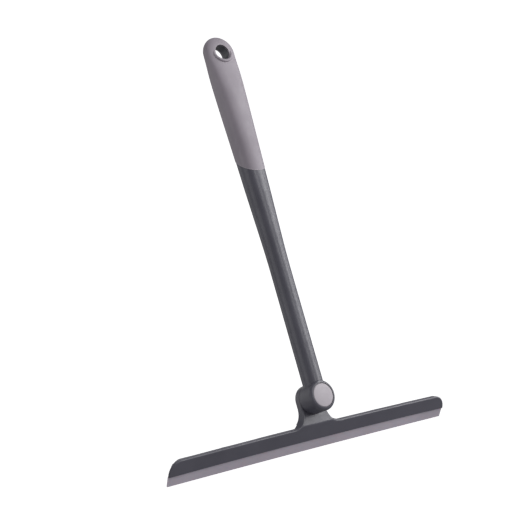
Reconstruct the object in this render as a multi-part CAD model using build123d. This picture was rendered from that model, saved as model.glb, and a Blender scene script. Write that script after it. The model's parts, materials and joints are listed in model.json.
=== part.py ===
from build123d import *
from math import pi, sin, cos, radians, copysign, sqrt
import os

# Window squeegee with a push-button swivel head. Millimetres.
# Origin: centre of the hang hole. X runs along the blade, +Z up the handle,
# -Y is the side with the button, +Y is the window side.

# ---- main sizes ---------------------------------------------------------
PIVOT_Z = -311.0          # height of the swivel axis, which runs along Y
HOLE_R = 7.0              # hang hole, through the hard core

# handle
SHAFT_R = 9.15
TIP_R = 15.25             # rounded end of the grip, seen from the front
TIP_CENTRE = 0.7          # height of that rounding's centre
GRIP_SKIN = 1.8           # thickness of the soft grip
GRIP_PROUD = 0.25         # the grip stands this much above the bare shaft
CORE_WALL = 2.6
SEAM_Z = -102.5           # lower edge of the grip, where it crosses the handle's axis
SEAM_ANGLE = 39.5         # the edge climbs towards the window side
HOLLOW_FOOT = 18.0        # above the swivel axis
HOLLOW_TOP = 290.0
VENT_R = 1.5
LIP_R = 8.9               # raised ring round the hang hole
LIP_ROUND = 1.4
LIP_OUT = 4.6
LIP_LEAN = 16.0
OVAL_POINTS = 28

# barrel at the foot of the handle
BARREL_R = 13.1
BARREL_FRONT = -9.6
BARREL_BACK = 7.0
WEB_FRONT = -3.0
WEB_BACK = -0.8
BUTTON_BORE_R = 10.45
SEAT_SMALL_R = 9.3        # friction cone, widening towards the window side
SEAT_LARGE_R = 9.85
SEAT_START = 0.3
SEAT_END = 3.7
CAVITY_R = 10.0
POST_R = 3.5
POST_END = 9.3
LUG_WIDTH = 4.0           # stop lug that limits the swivel
LUG_END = 0.5
PILOT_R = 1.25
PILOT_END = -0.4
WINDOW_INNER_R = 6.6
WINDOW_OUTER_R = 8.8
RIM_R = 2.9
RUNNING = 0.06            # radial clearance of turning and sliding fits

# button
PAD_R = 10.2
LEG_COUNT = 3
LEG_INNER_R = 7.2
LEG_OUTER_R = 8.7
LEG_WIDTH = 3.2
LEG_END = 0.5
PLUNGER_FRONT = -7.4
PLUNGER_BACK = -5.9
SKIRT_END = -5.2
SKIRT_T = 1.2
BARB = 0.35
ANCHOR_R = 3.0
PAD_EDGE = -9.35          # the pad's rim stands here, its middle further out
PAD_RISE = 0.7
PAD_ROUND = 0.7

# clutch
CLUTCH_FRONT = 0.6
CLUTCH_BACK = 3.5
HUB_R = 6.0
HUB_FRONT = -0.5
KEY_R = 6.85
KEY_COUNT = 6
KEY_WIDTH = 2.0
SPRING_R = 7.9
WIRE_R = 0.45
SPRING_TURNS = 3.0

# head
PLATE_FRONT = 7.6
PLATE_BACK = 13.4
LOBE_R = 12.8
LOBE_GAP = 0.6            # between the lobe's edge and the foot of the shaft
BAR_HALF = 152.0
BAR_HEIGHT = 12.4
BAR_T = 4.2
PAD_BACK = 6.4            # thicker middle of the bar, behind the neck
PAD_HALF = 22.0
PAD_NARROW = 3.5          # its sides slope in by this much towards the back
END_CUT = 1.3             # depth on each end face where its slanted back part starts
LIP_SHORT = 0.7           # the lip ends this far inside the bar
RIB_HIGH = 8.0            # rib along the back that holds the bead
RIB_END = 6.0
BAR_TILT = 33.0
BAR_Y = 15.2              # lower front edge of the bar, at mid length
BAR_DROP = 32.9           # that edge lies this far below the swivel axis
BAR_SAG = 1.39            # the bar's ends hang this much lower than its middle
BAR_CORNER_R = 11.2
FLARE_R = 12.0
BEND_R = 4.0
INNER_BEND_R = 2.0
FRONT_ROUND = 1.1         # rounding of the front face's rim
BACK_ROUND = 0.8
POCKET_R = 8.9
POCKET_FLOOR = 10.0
SINK_R = 4.8
SINK_FLOOR = 9.2
CAP_R = 7.1
CAP_FLOOR = 12.1
CAP_PLUG = 11.8
GLIDE_INNER_R = 10.5
GLIDE_OUTER_R = 12.3
WASHER_T = 0.8
SCREW_TIP = -0.3
SCREW_HEAD_R = 3.0
SCREW_HEAD_T = 1.5

# blade
NECK_T = 1.4              # rubber inside the slot
NECK_BACK = 1.3           # its front face, behind the bar's front face
BEAD_R = 1.2
BEAD_UP = 4.6             # bead centre above the bar's lower edge
SLOT_END = 8.0            # solid bar left at each end of the slot
LIP_FRONT = 0.7           # the lip's front face at the bar, and its depth there
LIP_ROOT_T = 2.0
TIP_FRONT = 2.5           # the same at the tip, where the rubber is thinner
TIP_T = 1.2
LIP_LONG = 9.8            # rubber below the bar, at mid length
LIP_SAG = 0.7
LIP_NARROW = 0.2          # each end is cut inwards by this much at the tip

os.makedirs("parts", exist_ok=True)


def save(shape, name):
    export_step(shape, f"parts/{name}.step")


def along_y(radius, y0, y1, x=0.0, z=PIVOT_Z):
    """Cylinder with its axis along Y, from y0 to y1."""
    disc = Pos(x, y0, z) * Rot(-90, 0, 0) * Circle(radius)
    return extrude(disc, amount=y1 - y0, dir=(0, 1, 0))


def turned(profile):
    """Turn a closed (radius, y) outline about the swivel axis."""
    points = [Vector(r, y, PIVOT_Z) for r, y in profile]
    face = Face(Wire.make_polygon(points, close=True))
    return revolve(face, Axis((0, 0, PIVOT_Z), (0, 1, 0)), 360)


def round_copies(shape, count):
    """Copies of a shape spaced evenly about the swivel axis."""
    axis = Axis((0, 0, PIVOT_Z), (0, 1, 0))
    return [shape.rotate(axis, 360 * k / count) for k in range(count)]


# ---- handle outline -----------------------------------------------------
# Height above the swivel axis, half width, half depth, squareness.
STATIONS = [(4 + 15 * k, SHAFT_R, SHAFT_R, 2.0) for k in range(8)] + [
    (124, 9.3, 9.2, 2.0),
    (142, 9.75, 9.45, 2.05),
    (163, 10.45, 9.85, 2.1),
    (184, 11.1, 10.2, 2.2),
    (205, 11.6, 10.4, 2.3),
    (226, 12.25, 10.5, 2.4),
    (248, 13.05, 10.5, 2.5),
    (270, 13.95, 10.1, 2.6),
    (284, 14.5, 9.2, 2.8),
    (297, 14.95, 7.8, 2.9),
    (309, 15.25, 6.1, 3.0),
]
TIP_DEPTH = 6.1
TIP_STEPS = 7


def oval(z, a, b, n):
    points = []
    for k in range(OVAL_POINTS):
        t = 2 * pi * k / OVAL_POINTS
        x = copysign(a * abs(cos(t)) ** (2 / n), cos(t))
        y = copysign(b * abs(sin(t)) ** (2 / n), sin(t))
        points.append(Vector(x, y, z))
    return Face(Wire([Edge.make_spline(points, periodic=True)]))


def handle_solid(inset, foot=0.0, top=None):
    """Handle shape drawn in by the inset; top leaves out the rounded tip."""
    faces = [
        oval(PIVOT_Z + up, a - inset, b - inset, n)
        for up, a, b, n in STATIONS
        if up > foot and (top is None or up < top)
    ]
    if top is None:
        radius = TIP_R - inset
        for k in range(1, TIP_STEPS + 1):
            angle = radians(87 * k / TIP_STEPS)
            z = TIP_CENTRE + radius * sin(angle)
            depth = (TIP_DEPTH - inset) * cos(angle) ** 0.85
            faces.append(oval(z, radius * cos(angle), depth, 3.0 - 0.12 * k))
    return loft(faces)


# ---- handle core --------------------------------------------------------
seam = Plane(
    origin=(0, 0, SEAM_Z),
    x_dir=(1, 0, 0),
    z_dir=(0, -sin(radians(SEAM_ANGLE)), cos(radians(SEAM_ANGLE))),
)
bare = split(handle_solid(GRIP_PROUD), bisect_by=seam, keep=Keep.BOTTOM)
under_grip = split(handle_solid(GRIP_SKIN), bisect_by=seam, keep=Keep.TOP)

barrel = along_y(BARREL_R, BARREL_FRONT, BARREL_BACK)
core = bare + barrel
rim = [
    e for e in core.edges()
    if e.geom_type == GeomType.CIRCLE and abs(e.center().Y - BARREL_FRONT) < 0.01
]
core = core.fillet(RIM_R, rim)

# room for the head's lobe behind the foot of the shaft
core -= along_y(LOBE_R + LOBE_GAP, BARREL_BACK, BARREL_BACK + 6)

# blind hollow with a small vent into the barrel
hollow = handle_solid(GRIP_SKIN + CORE_WALL, foot=HOLLOW_FOOT, top=HOLLOW_TOP)
vent = Pos(0, 0, PIVOT_Z + 5) * Cylinder(VENT_R, 60, align=(Align.CENTER, Align.CENTER, Align.MIN))

# button side of the barrel, then the clutch side with its friction cone
front_bore = along_y(BUTTON_BORE_R, BARREL_FRONT - 1, WEB_FRONT)
back_bore = turned([
    (0, WEB_BACK), (SEAT_SMALL_R, WEB_BACK), (SEAT_SMALL_R, SEAT_START),
    (SEAT_LARGE_R, SEAT_END), (CAVITY_R, SEAT_END), (CAVITY_R, BARREL_BACK + 1),
    (0, BARREL_BACK + 1),
])
core += under_grip
core -= hollow + vent
core -= front_bore
core -= back_bore

# post that the head turns on, with a pilot hole for the screw
post = along_y(POST_R, WEB_FRONT, POST_END)
stop_lug = Pos(0, (WEB_BACK + LUG_END) / 2, PIVOT_Z + (POST_R + HUB_R) / 2 - 0.4)
stop_lug *= Box(LUG_WIDTH, LUG_END - WEB_BACK, HUB_R - POST_R + 0.8)
core += post
core += stop_lug
core -= along_y(PILOT_R, PILOT_END, POST_END + 1)

# windows in the web for the button's legs
leg_window = Pos(0, (WEB_FRONT + WEB_BACK) / 2, PIVOT_Z - (WINDOW_INNER_R + WINDOW_OUTER_R) / 2)
leg_window *= Box(LEG_WIDTH + 0.5, WEB_BACK - WEB_FRONT + 1, WINDOW_OUTER_R - WINDOW_INNER_R)
for window in round_copies(leg_window, LEG_COUNT):
    core -= window

core -= along_y(HOLE_R, -30, 30, z=0)
save(core, "handle_core")

# ---- soft grip ----------------------------------------------------------
grip = split(handle_solid(0), bisect_by=seam, keep=Keep.TOP)
for side in (-1, 1):
    lip = Torus(LIP_R, LIP_ROUND).rotate(Axis.X, 90 + side * LIP_LEAN)
    grip += lip.translate((0, side * LIP_OUT, 0))
grip -= split(handle_solid(GRIP_SKIN), bisect_by=seam, keep=Keep.TOP)
grip -= along_y(HOLE_R + 0.3, -30, 30, z=0)
save(grip, "soft_grip")

# ---- swivel button ------------------------------------------------------
plunger = along_y(BUTTON_BORE_R - RUNNING, PLUNGER_FRONT, PLUNGER_BACK)
plunger += along_y(BUTTON_BORE_R - RUNNING, PLUNGER_BACK, SKIRT_END) - along_y(
    BUTTON_BORE_R - SKIRT_T, PLUNGER_BACK, SKIRT_END
)
leg = Pos(0, (PLUNGER_BACK + LEG_END) / 2, PIVOT_Z - (LEG_INNER_R + LEG_OUTER_R) / 2)
leg *= Box(LEG_WIDTH, LEG_END - PLUNGER_BACK, LEG_OUTER_R - LEG_INNER_R)
barb_front = WEB_BACK + 0.1
barb = Pos(0, (barb_front + LEG_END) / 2, PIVOT_Z - LEG_OUTER_R)
barb *= Box(LEG_WIDTH, LEG_END - barb_front, 2 * BARB)
for piece in round_copies(leg + barb, LEG_COUNT):
    plunger += piece
anchor_hole = along_y(ANCHOR_R, PLUNGER_FRONT - 1, PLUNGER_BACK + 1)
plunger -= anchor_hole
save(plunger, "button_plunger")

pad = turned([
    (0, PLUNGER_FRONT), (PAD_R, PLUNGER_FRONT), (PAD_R, PAD_EDGE), (0, PAD_EDGE),
])
dome_r = (PAD_R ** 2 + PAD_RISE ** 2) / (2 * PAD_RISE)
dome = Pos(0, PAD_EDGE - PAD_RISE + dome_r, PIVOT_Z) * Sphere(dome_r)
pad += dome & along_y(PAD_R, PAD_EDGE - PAD_RISE - 1, PAD_EDGE)
pad_rim = [
    e for e in pad.edges()
    if e.geom_type == GeomType.CIRCLE and e.center().Y < PAD_EDGE + 0.01 and e.radius > PAD_R - 0.1
]
pad = pad.fillet(PAD_ROUND, pad_rim)
pad += along_y(ANCHOR_R, PLUNGER_FRONT, PLUNGER_BACK - 0.1)
save(pad, "button_pad")

# ---- clutch and its spring ----------------------------------------------
def seat_radius(y):
    return SEAT_SMALL_R + (SEAT_LARGE_R - SEAT_SMALL_R) * (y - SEAT_START) / (SEAT_END - SEAT_START)


clutch = turned([
    (HUB_R + RUNNING, CLUTCH_FRONT),
    (seat_radius(CLUTCH_FRONT) - RUNNING, CLUTCH_FRONT),
    (seat_radius(CLUTCH_BACK) - RUNNING, CLUTCH_BACK),
    (HUB_R + RUNNING, CLUTCH_BACK),
])


def key(radius, width, y0, y1):
    bar = Pos(0, (y0 + y1) / 2, PIVOT_Z - radius / 2) * Box(width, y1 - y0, radius)
    return bar & along_y(radius, y0, y1)


for slot in round_copies(key(KEY_R + 0.1, KEY_WIDTH + 0.12, CLUTCH_FRONT - 1, CLUTCH_BACK + 1), KEY_COUNT):
    clutch -= slot
save(clutch, "clutch_ring")

spring_length = POCKET_FLOOR - CLUTCH_BACK - WIRE_R * 2 - 0.1
pitch = spring_length / SPRING_TURNS
coil = Edge.make_helix(pitch, spring_length, SPRING_R)
wire_end = Plane(origin=coil @ 0, z_dir=coil % 0)
spring = sweep(wire_end * Circle(WIRE_R), path=coil)
spring = spring.rotate(Axis.X, -90)
spring = spring.translate((0, CLUTCH_BACK + WIRE_R + 0.05, PIVOT_Z))
save(spring, "clutch_spring")

# ---- head frame ---------------------------------------------------------
tilt = radians(BAR_TILT)
bar_plane = Plane(
    origin=(0, BAR_Y, PIVOT_Z - BAR_DROP),
    x_dir=(1, 0, 0),
    z_dir=(0, -cos(tilt), -sin(tilt)),
)
face_dir = Vector(0, sin(tilt), -cos(tilt))
back_dir = Vector(0, cos(tilt), sin(tilt))
bend_up = (BAR_Y - PLATE_FRONT) / sin(tilt)      # distance from the lower edge to the bend
neck_up = bend_up + 30

# outline of bar, flares and neck, drawn on the bar's own face
sag_r = BAR_HALF ** 2 / (2 * BAR_SAG)
corner_x = BAR_HALF - BAR_CORNER_R
corner_top = BAR_HEIGHT - corner_x ** 2 / (2 * sag_r)


def outline_half():
    """Edges round one half of the bar, and those that turn up into the neck instead."""
    flare_x = LOBE_R + FLARE_R
    flare_z = BAR_HEIGHT - flare_x ** 2 / (2 * sag_r)
    knee = FLARE_R * (1 - sqrt(0.5))
    side_top = corner_top - BAR_CORNER_R

    def top_arc(x0, x1):
        heights = [BAR_HEIGHT - x ** 2 / (2 * sag_r) for x in (x0, (x0 + x1) / 2, x1)]
        return Edge.make_three_point_arc((x0, heights[0]), ((x0 + x1) / 2, heights[1]), (x1, heights[2]))

    low = Edge.make_three_point_arc((0, 0), (BAR_HALF / 2, -BAR_SAG / 4), (BAR_HALF, -BAR_SAG))
    side = Edge.make_line((BAR_HALF, -BAR_SAG), (BAR_HALF, side_top))
    turn = BAR_CORNER_R * sqrt(0.5)
    corner = Edge.make_three_point_arc(
        (BAR_HALF, side_top), (corner_x + turn, side_top + turn), (corner_x, corner_top)
    )
    flare = Edge.make_three_point_arc(
        (flare_x, flare_z), (LOBE_R + knee, flare_z + knee), (LOBE_R, flare_z + FLARE_R)
    )
    neck = Edge.make_line((LOBE_R, flare_z + FLARE_R), (LOBE_R, neck_up))
    bar_edges = [low, side, corner, top_arc(corner_x, 0)]
    return bar_edges, [top_arc(corner_x, flare_x), flare, neck]


def outline_face(half_edges, closing=()):
    """Face from a half outline, its mirror image and any edges that close it."""
    mirrored = [mirror(e, about=Plane.YZ).edge() for e in half_edges]
    return bar_plane * Face(Wire(half_edges + mirrored + list(closing)))


bar_edges, neck_edges = outline_half()
neck_top = Edge.make_line((LOBE_R, neck_up), (-LOBE_R, neck_up))
prism = extrude(outline_face(bar_edges[:-1] + neck_edges, [neck_top]), amount=30, both=True)

# side view of the bent plate, swept across the whole width
low_front = Vector(0, BAR_Y, PIVOT_Z - BAR_DROP) + face_dir * (BAR_SAG + 3)
low_back = low_front + back_dir * PAD_BACK
bend_front = Vector(0, BAR_Y, PIVOT_Z - BAR_DROP) - face_dir * bend_up
back_up = (BAR_Y + PAD_BACK * cos(tilt) - PLATE_BACK) / sin(tilt)
bend_back = Vector(0, BAR_Y, PIVOT_Z - BAR_DROP) + back_dir * PAD_BACK - face_dir * back_up
top_front = Vector(0, PLATE_FRONT, PIVOT_Z)
top_back = Vector(0, PLATE_BACK, PIVOT_Z)
side_points = [low_front, low_back, bend_back, top_back, top_front, bend_front]
strip = extrude(Face(Wire.make_polygon(side_points, close=True)), amount=BAR_HALF + 5, dir=(1, 0, 0), both=True)


def bend_edge(point):
    return [e for e in strip.edges() if e.length > BAR_HALF and (e.center() - point).length < 0.1]


strip = strip.fillet(BEND_R, bend_edge(bend_front))
strip = strip.fillet(INNER_BEND_R, bend_edge(bend_back))
head = prism & strip
head += along_y(LOBE_R, PLATE_FRONT, PLATE_BACK)


def rim_edges(solid):
    """Outer edges of the front faces, except along the rubber."""
    faces = [f for f in solid.faces() if f.normal_at().Y < -0.7]
    counts = {}
    for f in faces:
        for e in f.edges():
            mark = tuple(round(v, 2) for v in (*e.center(), e.length))
            counts.setdefault(mark, []).append(e)
    single = [group[0] for group in counts.values() if len(group) == 1]
    return [e for e in single if e.length < 140]


def at_depth(edge, depth):
    return abs(bar_plane.to_local_coords(edge.center()).Z + depth) < 0.01


head = head.fillet(FRONT_ROUND, rim_edges(head))

# pocket for the spring, hub with keys, and the sunk seat for screw and cap
head -= along_y(POCKET_R, PLATE_FRONT - 1, POCKET_FLOOR)
head += along_y(HUB_R, HUB_FRONT, SINK_FLOOR + 1)
for spline in round_copies(key(KEY_R, KEY_WIDTH, CLUTCH_FRONT, PLATE_FRONT + 1), KEY_COUNT):
    head += spline
head -= along_y(POST_R + RUNNING, HUB_FRONT - 1, SINK_FLOOR + 1)
head -= along_y(SINK_R, SINK_FLOOR, PLATE_BACK + 1)
head -= along_y(CAP_R, CAP_FLOOR, PLATE_BACK + 1)

# half of the hub's front end is cut away, so the lug stops it a quarter turn each way
stop_low = LUG_WIDTH / 2 + 0.05
stop_cut = Pos(0, (HUB_FRONT - 1 + LUG_END + 0.1) / 2, PIVOT_Z + (HUB_R - stop_low) / 2 + 0.5)
stop_cut *= Box(2 * HUB_R + 2, LUG_END + 1.1 - HUB_FRONT, HUB_R + stop_low + 1)
head -= stop_cut


def along_bar(half, high, low, low_sag, w0, w1, narrow=0.0):
    """Plate that follows the bar's curve; w counts back from the bar's front face."""
    drop = BAR_SAG * (half / BAR_HALF) ** 2
    low_drop = low_sag * (half / BAR_HALF) ** 2
    tip = half - narrow
    face = Face(Wire([
        Edge.make_three_point_arc((-half, high - drop), (0, high), (half, high - drop)),
        Edge.make_line((half, high - drop), (tip, low - low_drop)),
        Edge.make_three_point_arc((tip, low - low_drop), (0, low), (-tip, low - low_drop)),
        Edge.make_line((-tip, low - low_drop), (-half, high - drop)),
    ]))
    return extrude(bar_plane.offset(-w0) * face, amount=w1 - w0, dir=back_dir)


def bead(radius, half):
    """Round rod that follows the bar's curve."""
    drop = BAR_SAG * (half / BAR_HALF) ** 2
    depth = -NECK_BACK - NECK_T / 2
    ends = [bar_plane.from_local_coords(p) for p in (
        (-half, BEAD_UP - drop, depth), (0, BEAD_UP, depth), (half, BEAD_UP - drop, depth)
    )]
    path = Edge.make_three_point_arc(*ends)
    return sweep(Plane(origin=path @ 0, z_dir=path % 0) * Circle(radius), path=path)


# the bar's back is cut down, apart from its middle and the rib that holds the bead
rib = along_bar(BAR_HALF - RIB_END, RIB_HIGH, -1, BAR_SAG, BAR_T - 1, PAD_BACK + 1)
space = Pos(0, 0, -BAR_T - 10) * Box(2 * BAR_HALF + 10, 80, 20)
pad_half = PAD_HALF - PAD_NARROW
pad_sides = [(PAD_HALF, -BAR_T), (pad_half, -PAD_BACK), (pad_half, -BAR_T - 21)]
pad_sides += [(-x, z) for x, z in reversed(pad_sides)]
pad = Face(Wire.make_polygon([(x, 0, z) for x, z in pad_sides], close=True))
space -= extrude(pad, amount=41, dir=(0, 1, 0), both=True)
head -= bar_plane * space - rib
back_rim = [
    e for e in head.edges()
    if at_depth(e, BAR_T) and abs(e.center().X) > PAD_HALF + 2
    and bar_plane.to_local_coords(e.center()).Y > RIB_HIGH + 0.5
]
head = head.fillet(BACK_ROUND, back_rim)

# behind its front edge, each end of the bar slants inwards
for side in (1, -1):
    slanted = extrude(
        outline_face(bar_edges).translate(back_dir * END_CUT), amount=20, dir=back_dir - Vector(side, 0, 0)
    )
    end_space = Pos(side * (corner_x + 10), 0, -END_CUT - 10) * Box(28, 80, 20)
    head -= bar_plane * end_space - slanted

slot_half = BAR_HALF - SLOT_END
gap = 0.05
head -= along_bar(slot_half, BEAD_UP, -4, BAR_SAG, NECK_BACK - gap, NECK_BACK + NECK_T + gap)
head -= bead(BEAD_R + gap, slot_half)
save(head, "head_frame")

# ---- rubber blade -------------------------------------------------------
lip = along_bar(BAR_HALF - LIP_SHORT, -gap, -LIP_LONG, LIP_SAG, 0, PAD_BACK, LIP_NARROW)
front_slope = (TIP_FRONT - LIP_FRONT) / LIP_LONG
back_slope = (TIP_FRONT + TIP_T - LIP_FRONT - LIP_ROOT_T) / LIP_LONG


def lip_corner(down, start, slope):
    return bar_plane.from_local_coords((0, -down, -(start + slope * down)))


above = -2
below = LIP_LONG + 3
wedge_points = [
    lip_corner(above, LIP_FRONT, front_slope),
    lip_corner(above, LIP_FRONT + LIP_ROOT_T, back_slope),
    lip_corner(below, LIP_FRONT + LIP_ROOT_T, back_slope),
    lip_corner(below, LIP_FRONT, front_slope),
]
wedge_face = Face(Wire.make_polygon(wedge_points, close=True))
wedge = extrude(wedge_face, amount=BAR_HALF, dir=(1, 0, 0), both=True)
lip = lip & wedge
neck = along_bar(slot_half - 0.2, BEAD_UP, -1, BAR_SAG, NECK_BACK, NECK_BACK + NECK_T)
blade = lip + neck + bead(BEAD_R, slot_half - 0.2)
save(blade, "rubber_blade")

# ---- pivot hardware -----------------------------------------------------
glide = along_y(GLIDE_OUTER_R, BARREL_BACK + 0.05, PLATE_FRONT - 0.05)
glide -= along_y(GLIDE_INNER_R, BARREL_BACK, PLATE_FRONT)
save(glide, "glide_washer")

washer_back = POST_END + WASHER_T
washer = along_y(SINK_R - 0.3, POST_END, washer_back)
washer -= along_y(PILOT_R + 0.3, POST_END - 1, washer_back + 1)
save(washer, "screw_washer")

screw = along_y(PILOT_R - 0.02, SCREW_TIP, washer_back)
screw_head = along_y(SCREW_HEAD_R, washer_back, washer_back + SCREW_HEAD_T)
head_edge = screw_head.edges().filter_by(GeomType.CIRCLE).sort_by(Axis.Y)[-1]
screw_head = screw_head.fillet(SCREW_HEAD_T * 0.6, [head_edge])
for turn in (45, 135):
    slot = Pos(0, washer_back + SCREW_HEAD_T, PIVOT_Z) * Rot(0, turn, 0)
    screw_head -= slot * Box(SCREW_HEAD_R * 1.1, SCREW_HEAD_T, 0.7)
screw += screw_head
save(screw, "pivot_screw")

cap = along_y(CAP_R - 0.05, CAP_FLOOR, PLATE_BACK)
cap_edge = cap.edges().filter_by(GeomType.CIRCLE).sort_by(Axis.Y)[-1]
cap = cap.fillet(0.5, [cap_edge])
cap += along_y(SINK_R - 0.05, CAP_PLUG, CAP_FLOOR) - along_y(SINK_R - 1.1, CAP_PLUG - 1, CAP_FLOOR)
save(cap, "rear_cap")
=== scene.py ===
"""Looks for the window cleaning squeegee: materials, clutch spring, floor, light and camera."""

import json
import math

import bpy
from mathutils import Matrix, Vector


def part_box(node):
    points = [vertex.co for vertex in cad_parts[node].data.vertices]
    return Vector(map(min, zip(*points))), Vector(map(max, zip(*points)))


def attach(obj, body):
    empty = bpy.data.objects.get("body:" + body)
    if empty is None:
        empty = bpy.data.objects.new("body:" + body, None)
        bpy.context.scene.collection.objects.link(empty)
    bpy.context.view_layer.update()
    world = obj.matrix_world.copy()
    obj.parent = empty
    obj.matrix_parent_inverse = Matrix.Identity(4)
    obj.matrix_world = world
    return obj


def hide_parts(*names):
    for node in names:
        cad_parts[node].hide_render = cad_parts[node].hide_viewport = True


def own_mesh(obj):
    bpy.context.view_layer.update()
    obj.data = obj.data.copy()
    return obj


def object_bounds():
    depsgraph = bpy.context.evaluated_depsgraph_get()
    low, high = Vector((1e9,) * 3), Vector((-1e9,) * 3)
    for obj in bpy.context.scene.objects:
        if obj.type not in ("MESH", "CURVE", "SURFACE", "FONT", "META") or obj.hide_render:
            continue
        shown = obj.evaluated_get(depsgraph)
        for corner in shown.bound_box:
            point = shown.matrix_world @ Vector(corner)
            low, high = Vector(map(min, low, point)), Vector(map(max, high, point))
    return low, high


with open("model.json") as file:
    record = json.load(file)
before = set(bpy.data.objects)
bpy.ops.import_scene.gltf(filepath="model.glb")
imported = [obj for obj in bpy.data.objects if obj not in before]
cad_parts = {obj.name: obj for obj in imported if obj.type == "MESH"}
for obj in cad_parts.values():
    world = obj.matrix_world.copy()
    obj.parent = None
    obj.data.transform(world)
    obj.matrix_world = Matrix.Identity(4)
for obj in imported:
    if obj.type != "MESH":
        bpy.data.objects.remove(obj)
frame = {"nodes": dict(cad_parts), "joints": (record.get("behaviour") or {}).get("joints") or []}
cad_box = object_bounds()
nodes = frame["nodes"]
joints = {joint["name"]: joint for joint in frame["joints"]}
swivel_z = joints["head_swivel"]["pos_m"][2]


# ---- objects ------------------------------------------------------------
def put_in_scene(name, data):
    thing = bpy.data.objects.new(name, data)
    bpy.context.scene.collection.objects.link(thing)
    return thing


def mesh_object(name, verts, faces, flat, material):
    """Mesh object; its first faces, as many as flat says, stay flat, and the rest are smooth."""
    mesh = bpy.data.meshes.new(name)
    mesh.from_pydata(verts, [], faces)
    mesh.polygons.foreach_set("use_smooth", [False] * flat + [True] * (len(faces) - flat))
    mesh.materials.append(material)
    return put_in_scene(name, mesh)


def ring_faces(rings, sides):
    """Four-sided faces that join each ring of points to the next ring."""
    faces = []
    for ring in range(rings - 1):
        here = ring * sides
        there = here + sides
        for side in range(sides):
            after = (side + 1) % sides
            faces.append((here + side, here + after, there + after, there + side))
    return faces


# ---- materials ----------------------------------------------------------
def srgb(red, green, blue):
    """Linear colour with alpha from 0-255 screen values."""
    linear = [((v / 255 + 0.055) / 1.055) ** 2.4 if v > 10 else v / 255 / 12.92 for v in (red, green, blue)]
    return (*linear, 1.0)


class Surface:
    """One node material, built up step by step."""

    def __init__(self, name):
        self.material = bpy.data.materials.new(name)
        self.material.use_nodes = True
        self.tree = self.material.node_tree
        self.bsdf = self.tree.nodes["Principled BSDF"]
        self.place = self.add("ShaderNodeTexCoord").outputs["Object"]
        self.height = None

    def add(self, kind, **values):
        node = self.tree.nodes.new(kind)
        for key, value in values.items():
            setattr(node, key, value)
        return node

    def link(self, start, end):
        self.tree.links.new(start, end)

    def noise(self, scale, detail=2.0, roughness=0.5, stretch=(1, 1, 1)):
        """Noise value; scale counts grains per metre."""
        mapping = self.add("ShaderNodeMapping")
        mapping.inputs["Scale"].default_value = stretch
        self.link(self.place, mapping.inputs["Vector"])
        node = self.add("ShaderNodeTexNoise")
        node.inputs["Scale"].default_value = scale
        node.inputs["Detail"].default_value = detail
        node.inputs["Roughness"].default_value = roughness
        self.link(mapping.outputs["Vector"], node.inputs["Vector"])
        return node.outputs["Fac"]

    def spread(self, value, low, high, start=0.3, end=0.7):
        """Number that runs from low to high as the value goes from start to end."""
        node = self.add("ShaderNodeMapRange")
        for key, number in zip(("From Min", "From Max", "To Min", "To Max"), (start, end, low, high)):
            node.inputs[key].default_value = number
        self.link(value, node.inputs["Value"])
        return node.outputs["Result"]

    def mix(self, amount, first, second):
        """Colour mix; first and second are sockets or colours."""
        node = self.add("ShaderNodeMix", data_type="RGBA")
        for slot, item in ((6, first), (7, second)):
            if isinstance(item, tuple):
                node.inputs[slot].default_value = item
            else:
                self.link(item, node.inputs[slot])
        self.link(amount, node.inputs[0])
        return node.outputs[2]

    def shades(self, value, dark, light):
        """Colour that runs from dark to light over the middle of a noise value."""
        return self.mix(self.spread(value, 0.0, 1.0), dark, light)

    def bump(self, value, strength, depth):
        """Adds relief of the given depth in metres over what is there already."""
        node = self.add("ShaderNodeBump")
        node.inputs["Strength"].default_value = strength
        node.inputs["Distance"].default_value = depth
        self.link(value, node.inputs["Height"])
        if self.height:
            self.link(self.height, node.inputs["Normal"])
        self.height = node.outputs["Normal"]

    def edges(self, width):
        """0 on open faces, near 1 within the given width in metres of an edge."""
        node = self.add("ShaderNodeBevel", samples=4)
        node.inputs["Radius"].default_value = width
        geometry = self.add("ShaderNodeNewGeometry")
        dot = self.add("ShaderNodeVectorMath", operation="DOT_PRODUCT")
        self.link(node.outputs["Normal"], dot.inputs[0])
        self.link(geometry.outputs["Normal"], dot.inputs[1])
        return self.spread(dot.outputs["Value"], 1.0, 0.0, 0.8, 0.98)

    def finish(self, colour, rough, **fixed):
        self.link(colour, self.bsdf.inputs["Base Color"])
        self.link(rough, self.bsdf.inputs["Roughness"])
        if self.height:
            self.link(self.height, self.bsdf.inputs["Normal"])
        for key, value in fixed.items():
            self.bsdf.inputs[key.replace("_", " ")].default_value = value
        return self.material


def moulded_plastic(name, dark, light, edge_wear_and_highlight, rough):
    """Moulded plastic with fine spark grain, slow shade changes and rubbed edges."""
    s = Surface(name)
    cloud = s.noise(35, 3)
    speckle = s.spread(s.noise(900, 2), 0.0, 0.16)
    rubbed = s.add("ShaderNodeMath", operation="MULTIPLY")
    s.link(s.edges(0.0006), rubbed.inputs[0])
    s.link(s.spread(s.noise(220, 4), 0.1, 0.7), rubbed.inputs[1])
    colour = s.mix(speckle, s.shades(cloud, dark, light), light)
    colour = s.mix(rubbed.outputs[0], colour, edge_wear_and_highlight)
    spark_grain = s.noise(2600, 2)
    flow_marks = s.noise(420, 4, 0.6, (1, 1, 0.15))
    s.bump(spark_grain, 0.35, 0.00003)
    s.bump(flow_marks, 0.12, 0.00003)
    return s.finish(colour, s.spread(s.noise(120, 4), *rough))


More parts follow.
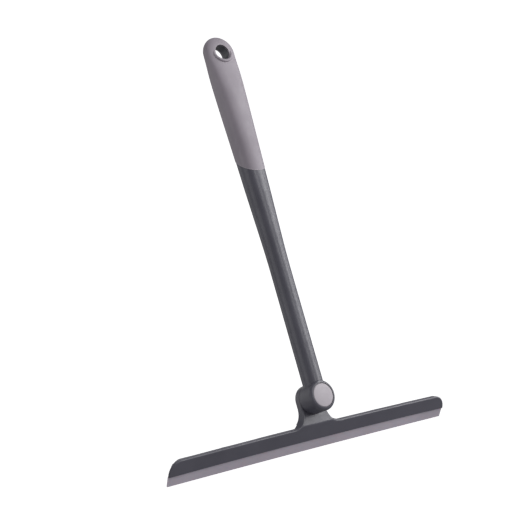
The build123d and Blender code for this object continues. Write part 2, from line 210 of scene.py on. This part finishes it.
def soft_rubber(name, dark, light, edge_wear_and_highlight, rough, **fixed):
    """Matt rubber: velvety, with fine grain, faint dust, handling marks and a painted highlight on thin
    edges.
    """
    s = Surface(name)
    cloud = s.noise(28, 3)
    dust = s.spread(s.noise(1500, 2), 0.0, 0.12)
    smudges = s.spread(s.noise(90, 5, 0.65), 0.0, 0.25, 0.45, 0.75)
    colour = s.mix(dust, s.shades(cloud, dark, light), light)
    colour = s.mix(smudges, colour, dark)
    # painted highlight: thin edges turn lighter all round, standing in for light caught by small rounded
    # edges
    colour = s.mix(s.edges(0.0007), colour, edge_wear_and_highlight)
    grain = s.noise(3200, 2)
    dimples = s.noise(300, 3)
    s.bump(grain, 0.4, 0.00003)
    s.bump(dimples, 0.15, 0.00006)
    return s.finish(colour, s.spread(s.noise(70, 4), *rough), **fixed)


def metal(name, dark, light, rough):
    """Drawn or turned steel with fine lines."""
    s = Surface(name)
    streaks = s.noise(400, 3, 0.5, (1, 4, 1))
    fine_lines = s.noise(5000, 2, 0.5, (0.2, 3, 0.2))
    s.bump(fine_lines, 0.3, 0.00001)
    colour = s.shades(streaks, dark, light)
    return s.finish(colour, s.spread(s.noise(500, 3), *rough), Metallic=1.0)


charcoal = moulded_plastic(
    "charcoal_plastic",
    dark=srgb(66, 65, 75), light=srgb(74, 73, 83), edge_wear_and_highlight=srgb(104, 101, 112), rough=(0.34, 0.42),
)
slide_plastic = moulded_plastic(
    "slide_plastic",
    dark=srgb(200, 197, 190), light=srgb(212, 209, 203), edge_wear_and_highlight=srgb(224, 222, 218), rough=(0.35, 0.45),
)
clutch_plastic = moulded_plastic(
    "clutch_plastic",
    dark=srgb(120, 122, 128), light=srgb(132, 134, 140), edge_wear_and_highlight=srgb(160, 162, 168), rough=(0.38, 0.5),
)
# In the three rubber materials below, the third colour is a painted highlight on thin edges.
grip_rubber = soft_rubber(
    "grip_rubber",
    dark=srgb(122, 115, 124), light=srgb(132, 125, 134), edge_wear_and_highlight=srgb(176, 168, 176), rough=(0.46, 0.58),
    Sheen_Weight=0.1, Sheen_Roughness=0.5,
)
pad_rubber = soft_rubber(
    "pad_rubber",
    dark=srgb(150, 144, 151), light=srgb(158, 152, 159), edge_wear_and_highlight=srgb(178, 172, 179), rough=(0.46, 0.58),
)
blade_rubber = soft_rubber(
    "blade_rubber",
    dark=srgb(162, 155, 166), light=srgb(175, 168, 180), edge_wear_and_highlight=srgb(190, 184, 194), rough=(0.48, 0.6),
    Subsurface_Weight=0.08, Subsurface_Scale=0.001,
)
steel = metal("bright_steel", dark=srgb(170, 170, 172), light=srgb(200, 200, 202), rough=(0.22, 0.36))
finishes = {
    "handle_core": charcoal,
    "head_frame": charcoal,
    "rear_cap": charcoal,
    "soft_grip": grip_rubber,
    "button_pad": pad_rubber,
    "button_plunger": clutch_plastic,
    "rubber_blade": blade_rubber,
    "clutch_ring": clutch_plastic,
    "glide_washer": slide_plastic,
    "screw_washer": steel,
    "pivot_screw": steel,
    "clutch_spring": steel,
}
for node, finish in finishes.items():
    slots = nodes[node].data.materials
    slots.clear()
    slots.append(finish)


# ---- clutch spring, a wire coil in place of the part's own spring -------
WIRE_R = 0.00045
TURNS = 4.4
CLOSED_TURN = 0.7         # this much of a turn lies flat at each end
STEPS_PER_TURN = 40
WIRE_SIDES = 12


def wire_coil(name, start, end, outer):
    """Coil spring about the swivel axis, as a tube that follows a helix along Y."""
    count = int(TURNS * STEPS_PER_TURN)
    mean = outer - WIRE_R
    verts = []
    for step in range(count + 1):
        turned = TURNS * step / count
        angle = 2 * math.pi * turned
        climbed = min(max((turned - CLOSED_TURN) / (TURNS - 2 * CLOSED_TURN), 0), 1)
        middle_y = start + WIRE_R + (end - start - 2 * WIRE_R) * climbed
        for side in range(WIRE_SIDES):
            around_wire = 2 * math.pi * side / WIRE_SIDES
            reach = mean + WIRE_R * math.cos(around_wire)
            y = middle_y + WIRE_R * math.sin(around_wire)
            verts.append((reach * math.cos(angle), y, swivel_z + reach * math.sin(angle)))
    start_cap = tuple(range(WIRE_SIDES - 1, -1, -1))
    end_cap = tuple(range(len(verts) - WIRE_SIDES, len(verts)))
    faces = [start_cap, end_cap] + ring_faces(count + 1, WIRE_SIDES)
    return mesh_object(name, verts, faces, 2, steel)


spring_low, spring_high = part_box("clutch_spring")
coil = wire_coil("spring_coil", spring_low.y, spring_high.y, spring_high.x)
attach(coil, "head")
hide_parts("clutch_spring")
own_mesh(coil)


# ---- floor, light and camera --------------------------------------------
low, high = (Vector(corner) for corner in cad_box)
middle = (low + high) / 2
FLOOR_GAP = 0.047         # the camera looks up from just below the blade, so the floor is lower still
WALL_R = 3.2
BEND_R = 1.2              # curve between floor and wall
BEND_STEPS = 12
WALL_HIGH = 3.0
WALL_SIDES = 96
PAPER_GLOW = 0.7
WORLD_LIGHT = 0.36

CAMERA_TURN = 38.537      # degrees; it stands to the left of the object's front
CAMERA_TIP = -9.196       # below zero, so it looks up
CAMERA_ROLL = -15.87      # leans the top of the handle to the left
CAMERA_OFFSET = Vector((0.043568, 0.111163, 1.176756))    # swivel axis from the camera: right, down, ahead
CAMERA_LENS = 95.094      # mm, on a sensor 36 mm wide


def paper():
    """Nearly white paper with a faint glow of its own."""
    s = Surface("studio_paper")
    colour = s.shades(s.noise(3, 2), srgb(250, 250, 251), srgb(255, 255, 255))
    s.bump(s.noise(900, 2), 0.1, 0.0001)
    s.link(colour, s.bsdf.inputs["Emission Color"])
    return s.finish(colour, s.spread(s.noise(8, 2), 0.85, 0.95), Emission_Strength=PAPER_GLOW)


def studio_cove():
    """Round paper studio: a floor below the camera that curves up into walls on every side."""
    floor_z = low.z - FLOOR_GAP
    line = [(WALL_R - BEND_R, 0.0)]
    for step in range(1, BEND_STEPS + 1):
        angle = math.radians(90 * step / BEND_STEPS)
        line.append((WALL_R - BEND_R * (1 - math.sin(angle)), BEND_R * (1 - math.cos(angle))))
    line.append((WALL_R, WALL_HIGH))
    verts = []
    for radius, rise in line:
        for step in range(WALL_SIDES):
            angle = 2 * math.pi * step / WALL_SIDES
            verts.append((radius * math.cos(angle), radius * math.sin(angle), floor_z + rise))
    faces = [tuple(range(WALL_SIDES))] + ring_faces(len(line), WALL_SIDES)
    cove = mesh_object("studio_cove", verts, faces, 1, paper())
    cove.visible_diffuse = False
    cove.visible_glossy = False


def soft_box(name, ahead, across, up, width, tall, power):
    """Area light aimed at the object's middle; ahead and across are metres along the camera's directions."""
    lamp = bpy.data.lights.new(name, "AREA")
    lamp.shape = "RECTANGLE"
    lamp.size = width
    lamp.size_y = tall
    lamp.energy = power
    reach = forward * ahead + right * across + Vector((0, 0, up))
    holder = put_in_scene(name, lamp)
    holder.visible_camera = False
    holder.location = middle + reach
    holder.rotation_euler = (-reach).to_track_quat("-Z", "Y").to_euler()


def photo_camera():
    """Camera a little below the head, turned round the handle and rolled."""
    turn, tip, roll = (math.radians(a) for a in (CAMERA_TURN, CAMERA_TIP, CAMERA_ROLL))
    forward = Vector((math.sin(turn) * math.cos(tip), math.cos(turn) * math.cos(tip), -math.sin(tip)))
    right = Vector((math.cos(turn), -math.sin(turn), 0))
    down = forward.cross(right)
    rolled_right = right * math.cos(roll) - down * math.sin(roll)
    rolled_down = right * math.sin(roll) + down * math.cos(roll)
    shift = rolled_right * CAMERA_OFFSET.x + rolled_down * CAMERA_OFFSET.y + forward * CAMERA_OFFSET.z
    turned = Matrix((rolled_right, -rolled_down, -forward)).transposed().to_4x4()
    lens = bpy.data.cameras.new("photo_camera")
    lens.sensor_width = 36
    lens.lens = CAMERA_LENS
    lens.clip_start = 0.01
    camera = put_in_scene("photo_camera", lens)
    camera.matrix_world = Matrix.Translation(Vector((0, 0, swivel_z)) - shift) @ turned
    bpy.context.scene.camera = camera
    return forward, right


def pale_world():
    world = bpy.data.worlds.new("studio")
    world.use_nodes = True
    background = world.node_tree.nodes["Background"]
    background.inputs["Color"].default_value = (1, 1, 1, 1)
    background.inputs["Strength"].default_value = WORLD_LIGHT
    bpy.context.scene.world = world


forward, right = photo_camera()
studio_cove()
soft_box("strip", ahead=-1.0, across=0.85, up=0.4, width=0.3, tall=1.3, power=6)
soft_box("key", ahead=-0.2, across=1.4, up=0.3, width=0.5, tall=1.4, power=17)
soft_box("edge", ahead=0.5, across=1.3, up=0.3, width=0.5, tall=1.4, power=7)
soft_box("fill", ahead=-0.8, across=-1.2, up=0.3, width=1.0, tall=1.4, power=4.5)
soft_box("rim", ahead=0.5, across=-1.3, up=0.3, width=0.6, tall=1.4, power=2)
soft_box("back", ahead=1.5, across=0, up=0.9, width=1.2, tall=0.8, power=2)
pale_world()
bpy.context.scene.view_settings.view_transform = "Standard"
